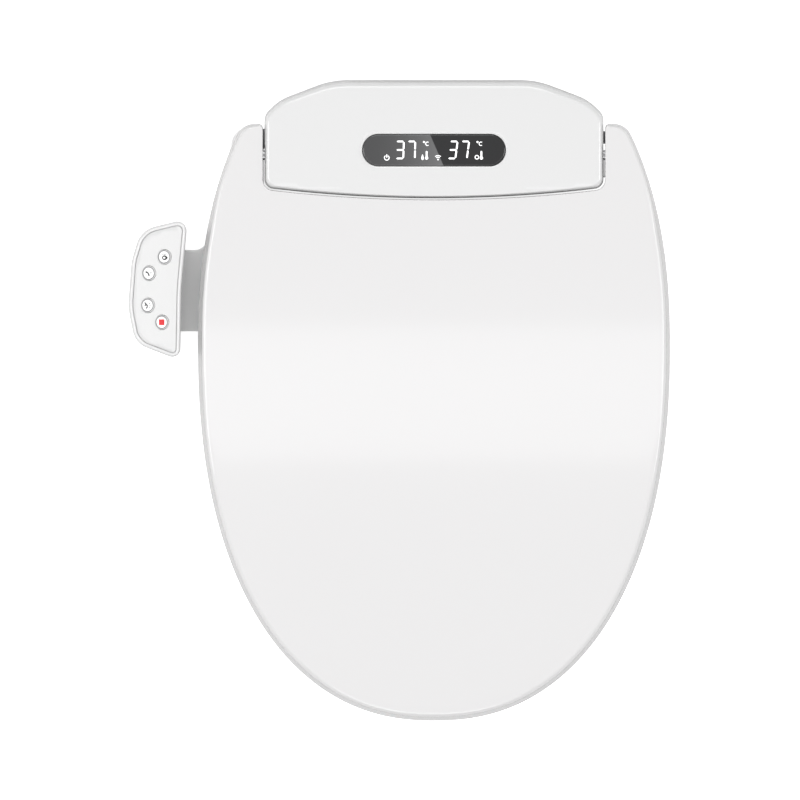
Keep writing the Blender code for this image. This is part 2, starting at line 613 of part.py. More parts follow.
def panel():
    """Case in two halves, and the tilted faceplate, the keys and the board between them."""
    flat = [[(x, y, z) for x, y in panel_outline(inset)] for inset, z in ((0.0006, 0.0135), (0.0, 0.020))]
    skin = flat + [panel_ring(0.0, 0.0036), panel_ring(0.0007, 0.0011), panel_ring(0.0021, 0.0),
                   panel_ring(PANEL_RIM, 0.0007)]
    ledge = PANEL_RIM + 0.0016
    inside = [panel_ring(PANEL_RIM, 0.0035), panel_ring(ledge, 0.0035), panel_ring(ledge, 0.0055),
              [(x, y, 0.0135) for x, y in panel_outline(0.0026)]]
    loft("panel_upper_case", skin + inside, "white_gloss", closed=True)
    arm_hole = box("arm_entry", (-0.2100, -0.1495, 0.0), (-0.1950, -0.0835, 0.0120), None, 0)
    lower_levels = [(0.0006, 0.0132), (0.0006, 0.004), (0.0025, 0.0015), (0.0028, 0.0132), (0.0034, 0.0037)]
    lower_rings = [[(x, y, z) for x, y in panel_outline(inset)] for inset, z in lower_levels]
    lower = shell("panel_lower_case", lower_rings[:3], lower_rings[3:], "grey_plastic")
    cut(lower, arm_hole)
    plate_rings = [panel_ring(PANEL_RIM + GAP, below) for below in (0.0031, 0.0012)]
    plate = loft("panel_faceplate", plate_rings, "white_satin")
    normal = Vector((-math.sin(PANEL_SLOPE), 0, math.cos(PANEL_SLOPE)))
    for name, (x, y) in KEYS.items():
        centre = Vector((x, y, panel_height(x, 0.0012)))
        finish = "key_red" if name == "key_stop" else "white_gloss"
        cut(plate, rod(name + "_hole", centre - normal * 0.01, centre + normal * 0.01,
                       KEY_RADIUS + GAP, None, sides=24))
        rod(name, centre - normal * 0.0040, centre + normal * 0.0010, KEY_RADIUS, finish, sides=24,
            rounding=0.0004)
    board = [(-0.2080, -0.1560), (-0.2080, -0.0740), (-0.2290, -0.0800), (-0.2350, -0.1300),
             (-0.2290, -0.1520)]
    loft("panel_board", [[(x, y, panel_height(x, below)) for x, y in board] for below in (0.0089, 0.0075)],
         "board_green")


top_cover()
display()
base_case()
mounting()
hinge_parts()
wash_unit()
water_and_electrics()
lid_shell()
lid_liner()
hinge_arms()
seat()
side_arm()
panel()
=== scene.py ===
import json
import math

import bmesh
import bpy
import numpy as np
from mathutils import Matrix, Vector
from mathutils.geometry import delaunay_2d_cdt


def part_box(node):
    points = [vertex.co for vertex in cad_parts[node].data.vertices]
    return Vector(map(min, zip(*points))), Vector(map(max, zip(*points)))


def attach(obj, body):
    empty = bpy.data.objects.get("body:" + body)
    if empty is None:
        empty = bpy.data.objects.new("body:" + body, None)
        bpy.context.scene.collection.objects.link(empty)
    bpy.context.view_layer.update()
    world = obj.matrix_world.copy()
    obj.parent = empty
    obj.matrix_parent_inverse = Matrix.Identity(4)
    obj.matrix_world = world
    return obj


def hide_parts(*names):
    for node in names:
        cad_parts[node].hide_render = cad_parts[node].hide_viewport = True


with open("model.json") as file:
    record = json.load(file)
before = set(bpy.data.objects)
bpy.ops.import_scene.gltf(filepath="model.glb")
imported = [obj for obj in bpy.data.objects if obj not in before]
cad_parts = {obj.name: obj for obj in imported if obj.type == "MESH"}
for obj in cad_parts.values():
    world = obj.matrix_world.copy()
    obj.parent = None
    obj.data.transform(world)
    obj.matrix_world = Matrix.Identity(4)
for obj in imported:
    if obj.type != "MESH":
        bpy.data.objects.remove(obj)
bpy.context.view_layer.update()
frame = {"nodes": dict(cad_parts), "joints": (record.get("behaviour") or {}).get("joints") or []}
nodes = frame["nodes"]
print("frame loaded:", len(nodes), "nodes")


# Shader maths: a wrapped socket can be added to, multiplied and so on, which adds Math nodes.
class Wire:
    def __init__(self, paint, socket):
        self.paint = paint
        self.socket = socket

    def maths(self, operation, *others):
        return self.paint.node("ShaderNodeMath", {"operation": operation}, [self, *others])

    def __add__(self, other):
        return self.maths("ADD", other)

    def __radd__(self, other):
        return self.maths("ADD", other)

    def __sub__(self, other):
        return self.maths("SUBTRACT", other)

    def __rsub__(self, other):
        return self.paint.node("ShaderNodeMath", {"operation": "SUBTRACT"}, [other, self])

    def __mul__(self, other):
        return self.maths("MULTIPLY", other)

    def __rmul__(self, other):
        return self.maths("MULTIPLY", other)

    def power(self, exponent):
        return self.maths("POWER", exponent)

    def clamped(self):
        return self.paint.node("ShaderNodeClamp", {}, [self])


class Paint:
    # One material and its nodes; node() makes any node from its settings and inputs.
    def __init__(self, name, colour, roughness, metallic=0.0):
        self.material = bpy.data.materials.new(name)
        self.material.use_nodes = True
        self.tree = self.material.node_tree
        self.shader = self.tree.nodes["Principled BSDF"]
        self.shader.inputs["Base Color"].default_value = (*colour, 1.0)
        self.shader.inputs["Roughness"].default_value = roughness
        self.shader.inputs["Metallic"].default_value = metallic
        self.place = self.node("ShaderNodeTexCoord", {}, [], "Object")

    def node(self, kind, settings, values, output=0):
        made = self.tree.nodes.new(kind)
        for key, value in settings.items():
            setattr(made, key, value)
        pairs = values.items() if isinstance(values, dict) else enumerate(values)
        for key, value in pairs:
            if isinstance(value, Wire):
                self.tree.links.new(value.socket, made.inputs[key])
            else:
                made.inputs[key].default_value = value
        return Wire(self, made.outputs[output])

    def fixed(self, **settings):
        for key, value in settings.items():
            self.shader.inputs[key.replace("_", " ")].default_value = value
        return self

    def feed(self, key, wire):
        self.tree.links.new(wire.socket, self.shader.inputs[key])

    def noise(self, scale, detail=3.0, roughness=0.5, place=None):
        return self.node("ShaderNodeTexNoise", {}, {"Vector": place or self.place, "Scale": scale,
                                                    "Detail": detail, "Roughness": roughness})

    def stretched(self, x, y, z):
        # Object coordinates scaled along each axis, for brushed or drawn surfaces.
        return self.node("ShaderNodeMapping", {}, {"Vector": self.place, "Scale": (x, y, z)})

    def mixed(self, factor, low, high):
        settings = {"data_type": "RGBA"}
        return self.node("ShaderNodeMix", settings, {0: factor, 6: (*low, 1.0), 7: (*high, 1.0)}, 2)

    def bump(self, height, strength, distance):
        wire = self.node("ShaderNodeBump", {}, {"Height": height, "Strength": strength,
                                                "Distance": distance})
        self.feed("Normal", wire)


def tones(colour, shade):
    # A colour a little darker and a little lighter, for a finish that drifts between the two.
    return tuple(c * (1 - shade) for c in colour), tuple(min(1.0, c * (1 + shade)) for c in colour)


def glossPlastic(name, colour, shade=0.018, roughness=0.16, peel=0.00003):
    # Polished moulding: faint orange peel, slow drifts of tone and gloss, fine haze.
    paint = Paint(name, colour, roughness)
    paint.fixed(IOR=1.49, Coat_Weight=1.0, Coat_Roughness=0.06)
    drift = paint.noise(7.0, 3.0)
    haze = paint.noise(240.0, 4.0, 0.6)
    paint.feed("Base Color", paint.mixed(drift, *tones(colour, shade)))
    paint.feed("Roughness", roughness - 0.03 + drift * 0.03 + haze * 0.03)
    ripple = paint.noise(900.0, 1.0) * 0.7 + haze * 0.3
    paint.bump(ripple, 0.25, peel)
    return paint.material


def satinPlastic(name, colour, shade=0.03, roughness=0.42, grain=2600.0, depth=0.00006):
    # Moulding from a spark-eroded tool: a fine pebble grain over slow tone drifts.
    paint = Paint(name, colour, roughness)
    paint.fixed(IOR=1.47)
    drift = paint.noise(16.0, 4.0)
    pebble = paint.node("ShaderNodeTexVoronoi", {"feature": "SMOOTH_F1"},
                        {"Vector": paint.place, "Scale": grain}, "Distance")
    fine = paint.noise(grain * 0.6, 2.0)
    paint.feed("Base Color", paint.mixed(drift * 0.7 + fine * 0.3, *tones(colour, shade)))
    paint.feed("Roughness", roughness - 0.06 + drift * 0.06 + pebble * 0.08)
    paint.bump(pebble + fine * 0.5, 0.35, depth)
    return paint.material


def softRubber(name, colour):
    # Matt rubber: chalky bloom, tiny pits and a worn, slightly shinier skin.
    paint = Paint(name, colour, 0.78)
    paint.fixed(IOR=1.5, Sheen_Weight=0.15)
    bloom = paint.noise(55.0, 5.0, 0.65)
    pits = paint.noise(1500.0, 2.0)
    darker = tuple(c * 0.80 for c in colour)
    paint.feed("Base Color", paint.mixed(bloom, darker, colour))
    paint.feed("Roughness", 0.68 + bloom * 0.20)
    paint.bump(pits * 0.7 + bloom * 0.3, 0.4, 0.00012)
    return paint.material


def brushedMetal(name, colour, roughness=0.30):
    # Turned bar: fine lines round it, with slow drifts of polish.
    paint = Paint(name, colour, roughness, 1.0)
    lines = paint.noise(1.0, 4.0, 0.7, paint.stretched(4200.0, 160.0, 160.0))
    stain = paint.noise(60.0, 4.0)
    darker = tuple(c * 0.80 for c in colour)
    paint.feed("Base Color", paint.mixed(lines * 0.6 + stain * 0.4, darker, colour))
    paint.feed("Roughness", roughness - 0.08 + lines * 0.18 + stain * 0.06)
    paint.bump(lines, 0.3, 0.00003)
    return paint.material


def circuitBoard(name, colour):
    # Solder mask over copper tracks on a square layout, with pads showing through.
    paint = Paint(name, colour, 0.35)
    tracks = paint.node("ShaderNodeTexBrick", {"offset": 0.5, "squash": 1.0},
                        {"Vector": paint.place, "Scale": 90.0, "Mortar Size": 0.035, "Mortar Smooth": 0.2,
                         "Brick Width": 0.6, "Row Height": 0.22}, "Fac")
    blotch = paint.noise(300.0, 2.0)
    light = tuple(min(1.0, c * 1.9 + 0.03) for c in colour)
    paint.feed("Base Color", paint.mixed(tracks * 0.8 + blotch * 0.2, colour, light))
    paint.feed("Roughness", 0.30 + blotch * 0.15)
    paint.bump(tracks, 0.5, 0.00005)
    return paint.material


def heaterFilm(name, colour):
    # Amber film over a winding foil track.
    paint = Paint(name, colour, 0.40, 0.3)
    bands = paint.node("ShaderNodeTexWave", {"wave_type": "RINGS", "rings_direction": "Z"},
                       {"Vector": paint.place, "Scale": 70.0, "Distortion": 0.6, "Detail": 1.0}, "Fac")
    paint.feed("Base Color", paint.mixed(bands.power(3.0), colour, (0.82, 0.80, 0.78)))
    paint.feed("Metallic", bands.power(3.0) * 0.8)
    paint.feed("Roughness", 0.45 - bands * 0.15)
    paint.bump(bands, 0.4, 0.0001)
    return paint.material


# The finishes, by name.
finish = {
    "lidWhite": glossPlastic("Lid white gloss", (0.785, 0.778, 0.780), 0.006),
    "coverWhite": glossPlastic("Cover white gloss", (0.785, 0.785, 0.785), 0.006, 0.20),
    "seatWhite": glossPlastic("Ring white gloss", (0.78, 0.78, 0.775), 0.010, 0.22),
    "panelWhite": glossPlastic("Panel white gloss", (0.77, 0.77, 0.77), 0.008, 0.20),
    "plateWhite": satinPlastic("Faceplate satin white", (0.765, 0.765, 0.765), 0.012, 0.34, 3200.0, 0.00003),
    "satinWhite": satinPlastic("Satin white moulding", (0.76, 0.76, 0.755)),
    # painted light: the arm's grey is set lighter than the lid's white to make up for the shade it sits in
    # between the panel and the lid
    "armGreyPaintedLight": satinPlastic("Arm pale grey", (0.94, 0.94, 0.94), 0.02, 0.38, 2200.0, 0.00005),
    "darkGrey": satinPlastic("Dark moulding", (0.07, 0.07, 0.075), 0.15, 0.45, 1800.0),
    "rubber": softRubber("Grey rubber", (0.30, 0.30, 0.31)),
    "steel": brushedMetal("Turned steel", (0.62, 0.62, 0.63)),
    "board": circuitBoard("Green circuit board", (0.015, 0.14, 0.05)),
    "film": heaterFilm("Amber heater film", (0.62, 0.33, 0.10)),
    "capWhite": glossPlastic("Key cap white", (0.90, 0.90, 0.90), 0.006, 0.22),
    "keyRing": satinPlastic("Key ring grey", (0.25, 0.25, 0.255), 0.03, 0.35, 3000.0, 0.00003),
    "keyMark": satinPlastic("Key sign black", (0.015, 0.015, 0.016), 0.05, 0.45, 3000.0, 0.00002),
    "keyRed": satinPlastic("Stop sign red", (0.78, 0.004, 0.012), 0.05, 0.40, 3000.0, 0.00002),
}
print("finishes made:", len(finish))


# Geometry: grids of points and trimmed sheets, welded into one closed piece.
class Skin:
    def __init__(self):
        self.points = []
        self.faces = []
        self.count = 0

    def add(self, points, faces):
        self.points.append(np.asarray(points, float).reshape(-1, 3))
        self.faces += [tuple(int(i) + self.count for i in face) for face in faces]
        self.count += len(self.points[-1])

    def rings(self, rings, closed=False):
        # Quads between rings of equally many points; closed joins the last ring to the first.
        rings = np.asarray(rings, float)
        rows, around = rings.shape[:2]
        row = np.arange(rows if closed else rows - 1)[:, None]
        column = np.arange(around)[None, :]
        nextRow = (row + 1) % rows
        nextColumn = (column + 1) % around
        quads = np.stack([row * around + column, row * around + nextColumn,
                          nextRow * around + nextColumn, nextRow * around + column], axis=-1)
        self.add(rings, quads.reshape(-1, 4))

    def sheet(self, ring, height, spacing=0.005, holes=()):
        # A surface z = height(x, y) trimmed to a ring, with holes, on a square grid of points.
        loops = [np.asarray(loop, float) for loop in (ring, *holes)]
        low, high = loops[0][:, :2].min(0), loops[0][:, :2].max(0)
        grid = np.stack(np.meshgrid(np.arange(low[0], high[0], spacing),
                                    np.arange(low[1], high[1], spacing)), axis=-1).reshape(-1, 2)
        keep = insideLoop(grid, loops[0])
        for hole in loops[1:]:
            keep &= ~insideLoop(grid, hole)
        edge = np.concatenate([loop[:, :2] for loop in loops])
        for start in range(0, len(edge), 200):
            apart = np.linalg.norm(grid[:, None] - edge[None, start:start + 200], axis=-1).min(1)
            keep &= apart > spacing * 0.45
        grid = grid[keep]
        flat = np.concatenate([edge, grid])
        lines, first = [], 0
        for loop in loops:
            count = len(loop)
            lines += [(first + i, first + (i + 1) % count) for i in range(count)]
            first += count
        made = delaunay_2d_cdt([Vector(p) for p in flat], lines, [], 1, 1e-7)
        place = np.array([tuple(p) for p in made[0]])
        z = height(place[:, 0], place[:, 1])
        for new, old in enumerate(made[3]):
            if old and old[0] < len(edge):
                z[new] = np.concatenate([loop[:, 2] for loop in loops])[old[0]]
        triangles = np.array([tuple(face) for face in made[2]])
        middle = place[triangles].mean(1)
        wanted = insideLoop(middle, loops[0])
        for hole in loops[1:]:
            wanted &= ~insideLoop(middle, hole)
        self.add(np.column_stack([place, z]), triangles[wanted])

    def piece(self, name, body, slot, material, sharp=40.0, stands=()):
        mesh = bpy.data.meshes.new(name)
        mesh.from_pydata(np.concatenate(self.points).tolist(), [], self.faces)
        work = bmesh.new()
        work.from_mesh(mesh)
        bmesh.ops.remove_doubles(work, verts=work.verts, dist=2e-6)
        bmesh.ops.dissolve_degenerate(work, edges=work.edges, dist=1e-6)
        bmesh.ops.recalc_face_normals(work, faces=work.faces)
        work.to_mesh(mesh)
        work.free()
        mesh.shade_smooth()
        mesh.set_sharp_from_angle(angle=math.radians(sharp))
        obj = bpy.data.objects.new(name, mesh)
        bpy.context.scene.collection.objects.link(obj)
        mesh.materials.append(material)
        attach(obj, body)
        if stands:
            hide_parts(*stands)
        return obj


def insideLoop(places, loop):
    # Even-odd test of many places against one closed loop.
    x, y = places[:, 0], places[:, 1]
    inside = np.zeros(len(places), bool)
    for (ax, ay), (bx, by) in zip(loop[:, :2], np.roll(loop[:, :2], -1, axis=0)):
        if ay == by:
            continue
        crosses = (ay > y) != (by > y)
        inside ^= crosses & (x < (bx - ax) * (y - ay) / (by - ay) + ax)
    return inside


def roundedLoop(corners, steps=10):
    # A closed outline whose corners (x, y, radius) are arcs.
    points = []
    for i, (x, y, radius) in enumerate(corners):
        here = np.array([x, y])
        if radius == 0:
            points.append(here)
            continue
        before = np.array(corners[i - 1][:2]) - here
        after = np.array(corners[(i + 1) % len(corners)][:2]) - here
        before, after = before / np.linalg.norm(before), after / np.linalg.norm(after)
        half = math.acos(np.clip(before @ after, -1, 1)) / 2
        middle = (before + after) / np.linalg.norm(before + after)
        centre = here + middle * radius / math.sin(half)
        first = here + before * radius / math.tan(half) - centre
        last = here + after * radius / math.tan(half) - centre
        start = math.atan2(first[1], first[0])
        sweep = (math.atan2(last[1], last[0]) - start + math.pi) % (2 * math.pi) - math.pi
        turn = start + sweep * np.linspace(0, 1, steps + 1)
        points += list(centre + radius * np.column_stack([np.cos(turn), np.sin(turn)]))
    return np.array(points)


def evenLoop(points, spacing):
    # The same closed outline with points at an even spacing.
    points = np.asarray(points)
    closed = np.vstack([points, points[:1]])
    length = np.concatenate([[0], np.cumsum(np.linalg.norm(np.diff(closed, axis=0), axis=1))])
    at = np.linspace(0, length[-1], int(length[-1] / spacing) + 1)[:-1]
    return np.column_stack([np.interp(at, length, closed[:, k]) for k in range(closed.shape[1])])


def loopNormals(points, reach=1):
    # Unit outward normals of an anticlockwise outline.
    along = np.roll(points, -reach, axis=0) - np.roll(points, reach, axis=0)
    normals = np.column_stack([along[:, 1], -along[:, 0]])
    return normals / np.linalg.norm(normals, axis=1)[:, None]


def atHeight(place, z):
    # Flat places (x, y) set at one height or at a height each.
    return np.column_stack([place, np.broadcast_to(z, len(place))])


def level(z):
    # The height function of a level sheet.
    return lambda x, y: np.full(len(x), z)


def smoothStep(value):
    value = np.clip(value, 0.0, 1.0)
    return value * value * (3 - 2 * value)


def mirrored(half):
    # A whole outline from its right half, from the front middle to the rear middle.
    half = np.asarray(half)
    left = half[np.abs(half[:, 0]) > 1e-6][::-1] * (-1, 1)
    return np.vstack([half, left])


def edgeRoll(wide, deep, steps=8, power=2.4):
    # Distance in and depth below the top along a rounded edge, from its foot to its crown.
    turn = np.linspace(0, math.pi / 2, steps)
    return list(zip(wide * (1 - np.cos(turn) ** (2 / power)), deep * (1 - np.sin(turn) ** (2 / power))))


# The lid.
lidLow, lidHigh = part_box("lid_shell")
hinge = next(j for j in frame["joints"] if j["name"] == "seat_hinge")["pos_m"]
housingLow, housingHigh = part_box("base_case")
lid = {
    "power": 2.27, "halfWidth": lidHigh.x, "tipY": lidLow.y, "rearY": lidHigh.y,
    "widestY": -0.160, "rearReach": 0.272, "frontZ": 0.062, "rearZ": 0.078,
    "wall": 0.0025, "lean": 0.0026, "rollWidth": 0.0066, "notchGap": 0.0013, "arch": 0.0014,
}
bowDepth, bowHalf = 0.0074, 0.128


def frontLine(x, gap=0.0):
    return housingLow.y - gap + bowDepth * (x / bowHalf) ** 2


def ovalHalf(inset=0.0, steps=150):
    # Right half of the lid's oval: x and y to the power 2.27 over each half axis sum to one.
    turn = np.linspace(0, math.pi, steps)
    reach = np.where(turn < math.pi / 2, lid["widestY"] - lid["tipY"], lid["rearReach"]) - inset
    x = (lid["halfWidth"] - inset) * np.abs(np.sin(turn)) ** (2 / lid["power"])
    y = lid["widestY"] - np.sign(np.cos(turn)) * reach * np.abs(np.cos(turn)) ** (2 / lid["power"])
    return np.column_stack([x, y])


def lidHeight(x, y):
    slope = (lid["rearZ"] - lid["frontZ"]) / (lid["rearY"] - lid["tipY"])
    middle = (lid["tipY"] + housingLow.y) / 2
    half = (housingLow.y - lid["tipY"]) / 2
    arch = lid["arch"] * np.clip(1 - ((y - middle) / half) ** 2, 0, None)
    return lid["frontZ"] + slope * (y - lid["tipY"]) + arch


def lidOutline():
    oval = ovalHalf()
    oval = oval[oval[:, 1] < lid["rearY"] - 0.012]
    notchX = housingHigh.x + lid["notchGap"]
    share = ((lid["rearY"] - lid["widestY"]) / lid["rearReach"]) ** lid["power"]
    earX = lid["halfWidth"] * (1 - share) ** (1 / lid["power"])
    ear = [(*oval[-1], 0), (earX, lid["rearY"], 0.015), (notchX, lid["rearY"], 0.003),
           (notchX, frontLine(notchX, lid["notchGap"]), 0.0085),
           (0.112, frontLine(0.112, lid["notchGap"]), 0)]
    bowX = np.linspace(0.106, 0, 20)
    bow = np.column_stack([bowX, frontLine(bowX, lid["notchGap"])])
    return evenLoop(mirrored(np.vstack([oval[:-1], roundedLoop(ear), bow])), 0.0022)


def makeLid():
    # Shell: a steep wall, a rolled edge and a barely arched top, with a wall 2.5 mm thick.
    outline = lidOutline()
    normals = loopNormals(outline)
    x, y = outline.T
    notch = (np.abs(x) < housingHigh.x + 0.003) & (y > housingLow.y - 0.006)
    rear = smoothStep((y + 0.075) / 0.050)
    wall = np.where(notch, 0.0050, 0.021 + 0.006 * (y - y.min()) / np.ptp(y))
    wall = wall + (np.minimum(wall, 0.013) - wall) * rear
    roll = np.where(notch, 0.08, 1.0 - 0.35 * rear)
    for _ in range(3):
        roll = (np.roll(roll, 1) + roll + np.roll(roll, -1)) / 3
        wall = (np.roll(wall, 1) + wall + np.roll(wall, -1)) / 3

    def ring(drawnIn, drop, thickness=0.0, sunk=0.0):
        place = outline - normals * (drawnIn * roll + thickness)[:, None]
        return atHeight(place, lidHeight(*place.T) - wall * drop - sunk)

    lean = lid["lean"]
    outer = [ring(0.0004, 1.0), ring(0.0, 0.97), ring(0.0001, 0.80)]
    outer += [ring(0.0001 + (lean - 0.0001) * t, 0.80 - 0.45 * t) for t in (0.12, 0.4, 0.7, 0.92)]
    outer += [ring(lean + a, b) for a, b in edgeRoll(lid["rollWidth"] - lean, 0.35, 9)]
    inner = [ring(0.0, 1.0, lid["wall"] - 0.0004)]
    inner += [ring(lean * t, 1.0 - 0.6 * t, lid["wall"]) for t in (0.3, 1.0)]
    inner += [ring(lean + a, b, lid["wall"], lid["wall"] * t)
              for t, (a, b) in zip(np.linspace(0.3, 1, 5), edgeRoll(0.005, 0.35, 5))]
    skin = Skin()
    skin.rings(outer[::-1] + inner)
    skin.sheet(outer[-1], lidHeight)
    skin.sheet(inner[-1], lambda a, b: lidHeight(a, b) - lid["wall"], 0.012)
    return skin.piece("lid_cover", "lid", "white_gloss", finish["lidWhite"], stands=["lid_shell"])


makeLid()
print("lid made")


# The seat: a section carried round between the opening's oval and the outer oval.
seatLow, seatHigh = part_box("seat_upper_shell")
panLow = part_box("seat_lower_shell")[0]
seat = {
    "inset": 0.005, "openHalfX": 0.110, "openHalfY": 0.145, "openY": -0.240,
    "bottomZ": panLow.z, "frontZ": 0.040, "rearZ": 0.046, "bridgeZ": 0.036, "around": 320,
}


def seatHeight(x, y, share):
    # z at a share from 0, the underside, to 1, the top; the rear bridge's underside is raised.
    top = seat["frontZ"] + (seat["rearZ"] - seat["frontZ"]) * (y - seatLow.y) / (seatHigh.y - seatLow.y)
    lift = np.exp(-((x / 0.060) ** 4)) * smoothStep((y + 0.125) / 0.030)
    bottom = seat["bottomZ"] + (seat["bridgeZ"] - seat["bottomZ"]) * lift
    return bottom + (top - bottom) * share


def seatLoops():
    turn = np.linspace(0, 2 * math.pi, seat["around"], endpoint=False)
    folded = np.where(turn > math.pi, 2 * math.pi - turn, turn)
    reach = np.where(folded < math.pi / 2, lid["widestY"] - lid["tipY"], lid["rearReach"]) - seat["inset"]
    wide = lid["halfWidth"] - seat["inset"]
    outerX = np.sign(np.sin(turn)) * wide * np.abs(np.sin(folded)) ** (2 / lid["power"])
    outerY = lid["widestY"] - np.sign(np.cos(folded)) * reach * np.abs(np.cos(folded)) ** (2 / lid["power"])
    inner = np.column_stack([seat["openHalfX"] * np.sin(turn),
                             seat["openY"] - seat["openHalfY"] * np.cos(turn)])
    soft = 0.004
    rear = seatHigh.y
    outerY = np.where(outerY > rear - soft, rear - soft * np.exp(-(outerY - rear + soft) / soft), outerY)
    return inner, np.column_stack([outerX, outerY])


def seatPiece(name, section, slot, material, stands):
    inner, outer = seatLoops()
    rings = []
    for across, up in section:
        place = inner + (outer - inner) * across
        rings.append(atHeight(place, seatHeight(*place.T, up)))
    skin = Skin()
    skin.rings(rings, closed=True)
    return skin.piece(name, "seat", slot, material, 50, stands)


def smoothSection(points, steps=5, corner=0.35):
    # Rounds a closed section: each corner becomes a quadratic curve between its two sides.
    points = np.asarray(points, float)
    before = points + (np.roll(points, 1, axis=0) - points) * corner
    after = points + (np.roll(points, -1, axis=0) - points) * corner
    out = []
    for a, b, c in zip(before, points, after):
        for t in np.linspace(0, 1, steps):
            out.append(a * (1 - t) ** 2 + b * 2 * t * (1 - t) + c * t * t)
    return out


seatPiece("seat_top", smoothSection([
    (0.0, 0.285), (0.004, 0.55), (0.020, 0.82), (0.10, 0.97), (0.32, 1.00), (0.68, 1.00), (0.90, 0.95),
    (0.978, 0.78), (0.997, 0.52), (1.00, 0.235), (0.966, 0.235), (0.952, 0.56), (0.88, 0.80), (0.68, 0.90),
    (0.32, 0.90), (0.12, 0.80), (0.052, 0.58), (0.038, 0.285)]), "white_gloss", finish["seatWhite"],
    ["seat_upper_shell"])
seatPiece("seat_pan", smoothSection([
    (0.0, 0.255), (0.036, 0.255), (0.060, 0.11), (0.30, 0.13), (0.70, 0.13), (0.940, 0.11), (0.966, 0.200),
    (1.00, 0.200), (0.975, 0.03), (0.93, 0.0), (0.72, 0.0), (0.70, 0.03), (0.30, 0.03), (0.28, 0.0),
    (0.070, 0.0), (0.022, 0.04)], 4, 0.30), "white_satin", finish["satinWhite"], ["seat_lower_shell"])
print("seat made")


# The rear housing.
coverLow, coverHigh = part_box("top_cover")
housing = {
    "wall": 0.0025, "split": coverLow.z, "top": coverHigh.z, "bottom": housingLow.z,
    "crown": (0.0050, 0.0075),
    "nozzleWindow": ((-0.026, -0.060, 0.0), (0.026, -0.030, 0.042)),
    "releaseHole": ((0.125, -0.0263, 0.0157), (0.145, -0.0097, 0.0263)),
    # x, y, z and radius: the water inlet, the cable gland and the two hinge shafts
    "sideHoles": [(-0.145, 0.005, 0.028, 0.0083), (0.125, 0.006, 0.030, 0.0063),
                  (-0.145, hinge[1], hinge[2], 0.0043), (0.125, hinge[1], hinge[2], 0.0043)],
}
lens = {"centreY": -0.0041, "length": 0.115, "width": 0.0259, "gap": 0.0003}


def housingOutline():
    bowX = np.linspace(0, 0.118, 14)
    wide, back = housingHigh.x, housingHigh.y
    bow = [(x, frontLine(x), 0) for x in bowX]
    side = [(wide, frontLine(wide), 0.0075), (wide, 0.024, 0.010), (0.124, 0.036, 0.040),
            (0.082, back, 0.070), (0.030, back, 0), (0.0, back, 0)]
    left = [(-x, y, radius) for x, y, radius in reversed(bow + side) if x > 0]
    return evenLoop(roundedLoop(bow + side + left, 14), 0.0021)


def housingRing(z, side=0.0, rear=0.0, wall=0.0):
    # The outline drawn in; above the hinge line its front is a circle about the hinge.
    x, y = housingOutline().T
    above = max(0.0, z - hinge[2])
    reach = hinge[1] - frontLine(x) - wall
    front = y * (hinge[1] - np.sqrt(reach ** 2 - above ** 2)) / frontLine(x)
    y = np.where(y < 0, front, y * (1 - (rear + wall) / housingHigh.y))
    return atHeight(np.column_stack([x * (1 - (side + wall) / housingHigh.x), y]), z)


def pillLoop(inset=0.0, z=0.0):
    # The display's outline: a bar with round ends.
    radius = lens["width"] / 2 - inset
    half = lens["length"] / 2 - lens["width"] / 2
    turn = np.linspace(-math.pi / 2, math.pi / 2, 33)
    right = np.column_stack([half + radius * np.cos(turn), radius * np.sin(turn)])
    straight = np.linspace(half, -half, 80)[1:-1]
    top = np.column_stack([straight, np.full(len(straight), radius)])
    loop = np.vstack([right, top, -right, -top]) + (0, lens["centreY"])
    return atHeight(loop, z)


def makeCover():
    # Cover with a rounded crown and a chamfered window for the display.
    split, top, wall = housing["split"], housing["top"], housing["wall"]
    draw = [(split, 0.0004, 0.0004), (split + 0.0006, 0.0, 0.0)]
    draw += [(z, 0.0, 0.0018 * (z - 0.012) / 0.054) for z in (0.030, 0.048, hinge[2])]
    # the crown: sides and rear draw in along a quarter of a rounded square
    turn = np.linspace(0.15, math.pi / 2, 14)
    foot = top - 0.0105
    rise = foot + (top - foot) * np.sin(turn) ** (2 / 2.6)
    into = 1 - np.cos(turn) ** (2 / 2.6)
    side, rear = housing["crown"]
    draw += [(z, side * k, 0.0020 + (rear - 0.0020) * k) for z, k in zip(rise, into)]
    outer = [housingRing(*drawn) for drawn in draw]
    inner = [housingRing(split, wall=wall), housingRing(hinge[2], 0.0, 0.0018, wall),
             housingRing(top - 0.0080, 0.0002, 0.0024, wall), housingRing(top - 0.0048, 0.0010, 0.0036, wall),
             housingRing(top - wall, side, rear, wall)]
    window = [pillLoop(-0.0006, top), pillLoop(-0.0002, top - 0.0003), pillLoop(0.0, top - 0.0007),
              pillLoop(0.0, top - wall)]
    skin = Skin()
    skin.rings(outer[::-1] + inner)
    skin.rings(window)
    skin.sheet(outer[-1], level(top), 0.004, [window[0]])
    skin.sheet(inner[-1], level(top - wall), 0.010, [window[-1]])
    cover = skin.piece("housing_cover", "root", "white_gloss", finish["coverWhite"], stands=["top_cover"])
    drill(cover, [boxCutter(*housing["nozzleWindow"]), boxCutter(*housing["releaseHole"])]
          + [rodCutter((x, y, z), (x + 0.020, y, z), radius) for x, y, z, radius in housing["sideHoles"]])


def boxCutter(low, high):
    work = bmesh.new()
    bmesh.ops.create_cube(work, size=1.0)
    size, middle = np.subtract(high, low), np.add(high, low) / 2
    for vert in work.verts:
        vert.co = Vector(np.array(vert.co) * size + middle)
    return cutterObject(work)


